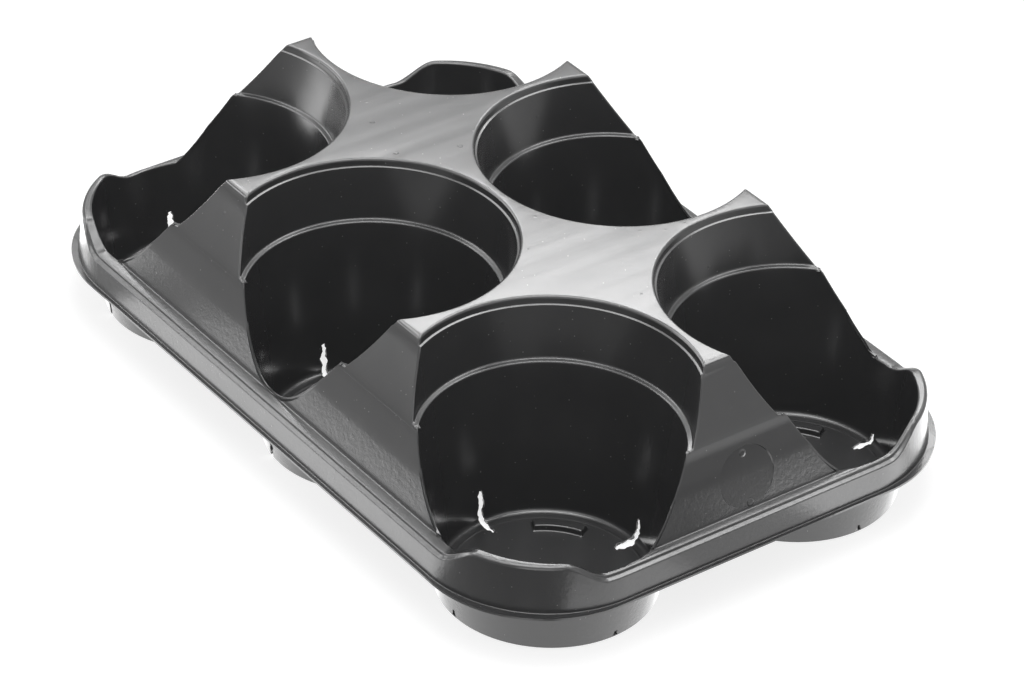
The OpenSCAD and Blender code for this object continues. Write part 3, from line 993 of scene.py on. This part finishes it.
for spots, size, rise in ((PIPS, PIP_R, PIP_H), (DENTS, DENT_R, DENT_H)):
    for spot in spots:
        away = node(tree, "VectorMath", {0: place, 1: spot}, operation="DISTANCE").outputs["Value"]
        relief = math_node(tree, "ADD", relief, ramp(tree, away, size, size * 0.6, 0.0, rise))
bump = node(tree, "Bump", {"Height": relief, "Strength": 1.0, "Distance": 1.0})
print("relief:", len(tree.nodes), "nodes")

# %% [markdown]
# ## Plastic: colour and gloss
# The black is a very dark grey that drifts a little, with pale specks of dust on it. The gloss is what
# makes the tray readable, so its roughness is low and only varies with the streaks and the grain.

# %% Colour and gloss
BLACK_LOW, BLACK_HIGH = (0.036, 0.036, 0.037, 1), (0.046, 0.046, 0.047, 1)
DUST, DUST_SHARE = (0.5, 0.5, 0.49, 1), 0.25
ROUGHNESS, ROUGHER_STREAKS, ROUGHER_GRAIN = 0.18, 0.06, 0.04

dust = node(tree, "TexVoronoi", {"Vector": place, "Scale": 430.0})
dust_pick = node(tree, "SeparateColor", {0: dust.outputs["Color"]}).outputs[1]
specks = math_node(tree, "MULTIPLY", ramp(tree, dust.outputs["Distance"], 0.15, 0.07),
                   ramp(tree, dust_pick, 0.86, 0.9))
specks = math_node(tree, "MULTIPLY", specks, DUST_SHARE)
tone = node(tree, "MixRGB", {"Fac": waves, "Color1": BLACK_LOW, "Color2": BLACK_HIGH})
dusty = node(tree, "MixRGB", {"Fac": specks, "Color1": tone.outputs["Color"], "Color2": DUST})
uneven = math_node(tree, "ADD", math_node(tree, "MULTIPLY", streaks, ROUGHER_STREAKS),
                   math_node(tree, "MULTIPLY", low_part, ROUGHER_GRAIN))

shader = tree.nodes["Principled BSDF"]
tree.links.new(dusty.outputs["Color"], shader.inputs["Base Color"])
tree.links.new(math_node(tree, "ADD", uneven, ROUGHNESS), shader.inputs["Roughness"])
tree.links.new(bump.outputs["Normal"], shader.inputs["Normal"])
tray.data.materials.clear()
tray.data.materials.append(plastic)
print("plastic:", len(tree.nodes), "nodes")

# %% [markdown]
# ## What a ray may see
# In the photograph the faces that point forwards are dark and the others bright. So the floor and the
# backdrop share one rule: the camera sees them at full brightness, and so do reflections, except towards
# the camera's side. As a light they are dimmer. A Light Path node can tell these rays apart.

# %% Rule for floor and backdrop
FRONT = (0.8, -0.6, 0.0)
DARK_SIDE, DARK_LEVEL = {"Object": (0.16, 0.26), "Generated": (0.35, 0.75)}, 0.12


def seen_directly(tree, coordinate):
    """1 for camera rays, and for glossy and transmission rays too, except on the dark side of the studio."""
    path = node(tree, "LightPath").outputs
    here = node(tree, "TexCoord").outputs[coordinate]
    forward = node(tree, "VectorMath", {0: here, 1: FRONT}, operation="DOT_PRODUCT").outputs["Value"]
    low, high = DARK_SIDE[coordinate]
    dark = node(tree, "MapRange", {"Value": forward, "From Min": low, "From Max": high, "To Min": 1.0,
                                   "To Max": DARK_LEVEL}).outputs["Result"]
    mirrored = math_node(tree, "ADD", path["Is Glossy Ray"], path["Is Transmission Ray"], clamp=True)
    mirrored = math_node(tree, "MULTIPLY", mirrored, dark)
    return math_node(tree, "ADD", path["Is Camera Ray"], mirrored, clamp=True)


print("reflections of the camera's side are dimmed to", DARK_LEVEL)

# %% [markdown]
# ## A pale floor that keeps the shadow
# The photograph has a white ground with hardly a shadow. A plain white floor would be grey in places,
# and a glowing one would have no shadow at all. So a part of the floor's brightness is a glow that only
# the camera and reflections see, and the rest comes from the lamps and keeps the tray's shadow.

# %% Floor
FLOOR_DROP, FLOOR_GREY, FLOOR_GLOW = -0.0003, 0.35, 0.8

bm = bmesh.new()
bmesh.ops.create_grid(bm, x_segments=1, y_segments=1, size=8.0)
bmesh.ops.translate(bm, verts=bm.verts, vec=(0, 0, FLOOR_DROP))
floor_mesh = bpy.data.meshes.new("floor")
bm.to_mesh(floor_mesh)
bm.free()
floor = bpy.data.objects.new("floor", floor_mesh)
bpy.context.scene.collection.objects.link(floor)

paper = bpy.data.materials.new("pale_floor")
paper.use_nodes = True
paper_shader = paper.node_tree.nodes["Principled BSDF"]
for name, value in (("Base Color", (FLOOR_GREY, FLOOR_GREY, FLOOR_GREY, 1)), ("Roughness", 1.0),
                    ("Specular IOR Level", 0.0), ("Emission Color", (1, 1, 1, 1))):
    paper_shader.inputs[name].default_value = value
glow = math_node(paper.node_tree, "MULTIPLY", seen_directly(paper.node_tree, "Object"), FLOOR_GLOW)
paper.node_tree.links.new(glow, paper_shader.inputs["Emission Strength"])
floor_mesh.materials.append(paper)
print("floor at", FLOOR_DROP, "m, with", len(paper.node_tree.nodes), "nodes")

# %% [markdown]
# ## A bright backdrop
# The world is white for the camera and for reflections and dimmer as a light, so that the picture has a
# white ground without washing out the shadow. It uses the same rule as the floor.

# %% Backdrop
LIGHT_LEVEL, SEEN_LEVEL = 0.6, 1.0

world = bpy.data.worlds.new("studio")
bpy.context.scene.world = world
world.use_nodes = True
backdrop = world.node_tree.nodes["Background"]
backdrop.inputs["Color"].default_value = (1, 1, 1, 1)
level = node(world.node_tree, "MapRange", {"Value": seen_directly(world.node_tree, "Generated"),
                                           "To Min": LIGHT_LEVEL, "To Max": SEEN_LEVEL})
world.node_tree.links.new(level.outputs["Result"], backdrop.inputs["Strength"])
print("backdrop:", len(world.node_tree.nodes), "nodes")

# %% [markdown]
# ## Lamps
# Two large soft panels light the tray. Black plastic mostly shows what it reflects, so a studio also
# sets up white cards where its faces mirror them. Here a card is a panel that diffuse surfaces can't
# see: it shows in the gloss and adds no light to the floor.

# %% Lamps that light
lamps = []


def panel(name, centre, towards, width, height, radiance, lights=True):
    """A flat soft lamp that faces a point. One that doesn't light is only seen in the gloss."""
    lamp = bpy.data.lights.new(name, "AREA")
    lamp.shape, lamp.size, lamp.size_y = "RECTANGLE", width, height
    lamp.energy = radiance * pi * width * height
    made = bpy.data.objects.new(name, lamp)
    facing = Vector(centre) - Vector(towards)
    made.matrix_world = Matrix.Translation(centre) @ facing.to_track_quat("Z", "Y").to_matrix().to_4x4()
    made.visible_camera = False
    made.visible_diffuse = lights
    bpy.context.scene.collection.objects.link(made)
    lamps.append(name)


def around(az, el, distance, z=0.1):
    """A place on a sphere about the tray, by its azimuth and elevation in degrees."""
    a, e = radians(az), radians(el)
    return (distance * cos(a) * cos(e), distance * sin(a) * cos(e), z + distance * sin(e))


MIDDLE = (0, 0, 0.1)
panel("key", around(-37, 66, 1.2), MIDDLE, 0.6, 0.6, 2.6)
panel("overhead", (0.05, 0.05, 1.3), MIDDLE, 0.8, 0.8, 2.4)
print("lamps that light:", lamps)

# %% [markdown]
# ## Cards round the tray
# Seen from the camera, the deck mirrors what is behind the tray, the gussets what is at its sides, and
# the roundings a little of everything. The cards stand there, and their strengths were chosen by
# comparing the faces with the photograph.

# %% Cards round the tray
def card(name, az, el, width, height, radiance, distance=1.1, z=0.1):
    panel(name, around(az, el, distance, z), MIDDLE, width, height, radiance, lights=False)


card("rear_strip", 143, 38, 0.9, 0.13, 16.5)
card("rear_low", 143, 30, 0.9, 0.13, 1.4)
card("top_rear", 143, 76, 0.9, 0.30, 7.0)
card("top_front", -37, 80, 0.9, 0.25, 9.0)
card("front_strip", -37, 10, 0.7, 0.3, 3.0, distance=1.3, z=0.05)
card("front_card", -37, 52, 0.9, 0.3, 2.8)
card("front_right", 5, 40, 0.7, 0.3, 3.0)
card("front_left", -80, 40, 0.7, 0.3, 1.8)
card("left_card", -140, 50, 0.9, 0.3, 3.8)
card("left_back", -168, 47, 0.7, 0.3, 6.0)
card("left_side", -145, 20, 1.0, 0.3, 9.0, distance=1.2, z=0.05)
card("right_high", 90, 57, 0.9, 0.35, 10.0)
card("right_back", 100, 30, 0.8, 0.3, 1.5)
card("right_side", 20, 25, 1.0, 0.35, 0.8, distance=1.2, z=0.05)
card("right_low", 25, 4, 1.0, 0.2, 1.6, distance=1.2, z=0.05)
print("lamps and cards:", len(lamps))

# %% [markdown]
# ## Cards on the floor
# The skirt and the cups lean so that they mirror the floor close to the tray. Cards that lie flat there
# light them up without a change to the floor itself. The one under the tray lies inside the sheet's
# thickness, so that it isn't seen in the wells.

# %% Cards on the floor
def floor_card(name, x0, x1, y0, y1, radiance, z=0.004):
    x, y = (x0 + x1) / 2, (y0 + y1) / 2
    panel(name, (x, y, z), (x, y, 1), x1 - x0, y1 - y0, radiance, lights=False)


floor_card("left_floor", -0.15, 0.108, -0.215, -0.142, 3.2)
floor_card("left_end_floor", -0.33, -0.205, -0.22, 0.12, 4.0)
floor_card("right_floor_near", 0.205, 0.27, -0.11, -0.01, 2.2)
floor_card("right_floor_middle", 0.205, 0.27, -0.01, 0.06, 0.8)
floor_card("right_floor_far", 0.205, 0.30, 0.06, 0.14, 4.2)
floor_card("right_corner_floor", 0.12, 0.21, 0.14, 0.185, 3.0)
floor_card("under_tray", -0.205, 0.205, -0.142, 0.142, 1.9, z=0.0005)
print("lamps and cards:", len(lamps))

# %% [markdown]
# ## Camera
# The camera stands where the photograph was taken from. The wells' rims are true circles, so their
# ellipses in the photograph fix its direction and its focal length. A long lens from far away keeps
# the tray's parallel lines nearly parallel. The three vectors are the camera's own axes.

# %% Camera
LENS, SENSOR = 161.36, 36.0
CAMERA_AT = (1.3652, -1.0200, 1.182)
RIGHT, UP, BACK = (0.5874, 0.8089, 0.0276), (-0.4688, 0.3121, 0.8263), (0.6598, -0.4983, 0.5625)

camera_data = bpy.data.cameras.new("camera")
camera_data.sensor_width, camera_data.lens = SENSOR, LENS
camera = bpy.data.objects.new("camera", camera_data)
turn = Matrix((RIGHT, UP, BACK)).transposed().to_4x4()
camera.matrix_world = Matrix.Translation(CAMERA_AT) @ turn
bpy.context.scene.collection.objects.link(camera)
bpy.context.scene.camera = camera
bpy.context.scene.view_settings.view_transform = "Standard"
print("camera at", CAMERA_AT, "with a lens of", LENS, "mm")
